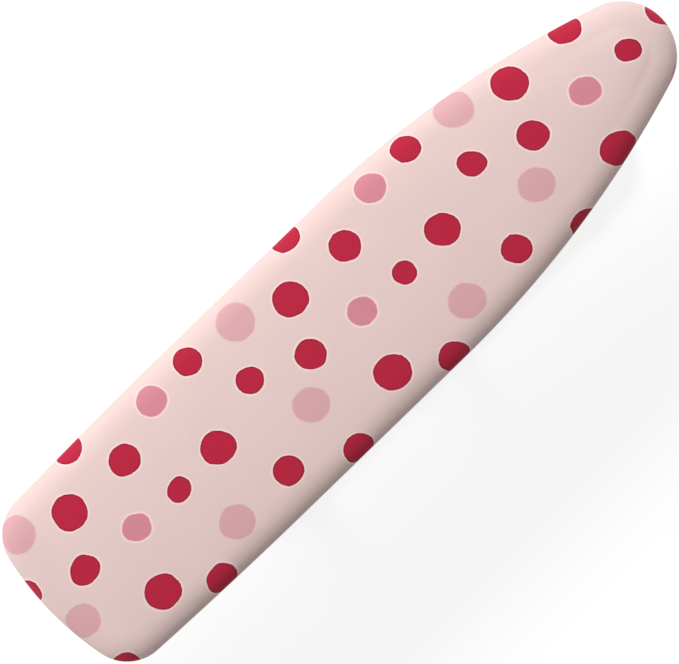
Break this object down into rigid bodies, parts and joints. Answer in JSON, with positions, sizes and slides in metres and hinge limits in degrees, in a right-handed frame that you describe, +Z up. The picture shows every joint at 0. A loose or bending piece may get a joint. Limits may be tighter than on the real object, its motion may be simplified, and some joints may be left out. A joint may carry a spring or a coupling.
{
  "type": "sleeve ironing board",
  "caption": "Table-top sleeve ironing board: padded cotton-covered board, round at the nose, carried level by two swinging U-legs over a tubular base loop, so it folds flat.",
  "frame": {"origin": "on the ground under the middle of the board", "axes": "+X along the board to its round nose, +Y to the board's left, +Z up"},
  "size_m": [0.508, 0.127, 0.1108],
  "materials": {
    "stand_steel": "satin powder coat",
    "deck_steel": "satin enamel",
    "saddle_steel": "zinc plated",
    "rivet_steel": "nickel plated",
    "nylon": "natural nylon",
    "foot_rubber": "matt",
    "pad_felt": "needled felt",
    "cover_cotton": "plain-weave cotton, printed with dots",
    "hem_elastic": "braided elastic"
  },
  "bodies": {
    "base": {"base_loop": "stand_steel", "stop_bar": "stand_steel", "foot_rear_left": "foot_rubber", "foot_rear_right": "foot_rubber", "foot_front_left": "foot_rubber", "foot_front_right": "foot_rubber", "pivot_rivet_rear_left": "rivet_steel", "pivot_rivet_rear_right": "rivet_steel", "pivot_rivet_front_left": "rivet_steel", "pivot_rivet_front_right": "rivet_steel", "pivot_spacer_rear_left": "nylon", "pivot_spacer_rear_right": "nylon", "pivot_spacer_front_left": "nylon", "pivot_spacer_front_right": "nylon"},
    "rear_leg": {"rear_leg": "stand_steel"},
    "front_leg": {"front_leg": "stand_steel"},
    "deck": {"deck_panel": "deck_steel", "saddle_rear_left": "saddle_steel", "saddle_rear_right": "saddle_steel", "saddle_front_left": "saddle_steel", "saddle_front_right": "saddle_steel", "bush_rear_left": "nylon", "bush_rear_right": "nylon", "bush_front_left": "nylon", "bush_front_right": "nylon", "saddle_rivets": "rivet_steel", "foam_pad": "pad_felt", "cotton_cover": "cover_cotton", "cover_elastic": "hem_elastic"}
  },
  "joints": [
    {"name": "fold", "type": "hinge", "parent": "base", "child": "rear_leg", "pos_m": [-0.09, 0, 0.009], "axis": [0, 1, 0], "range_deg": [0, 100]},
    {"name": "front_leg_swing", "type": "hinge", "parent": "base", "child": "front_leg", "pos_m": [0.03, 0, 0.009], "axis": [0, 1, 0], "range_deg": [0, 100]},
    {"name": "deck_level", "type": "hinge", "parent": "rear_leg", "child": "deck", "pos_m": [-0.11781, 0, 0.0946], "axis": [0, 1, 0], "range_deg": [-100, 0]}
  ],
  "couplings": [
    {"joint": "front_leg_swing", "follows": "fold", "ratio": 1},
    {"joint": "deck_level", "follows": "fold", "ratio": -1}
  ]
}
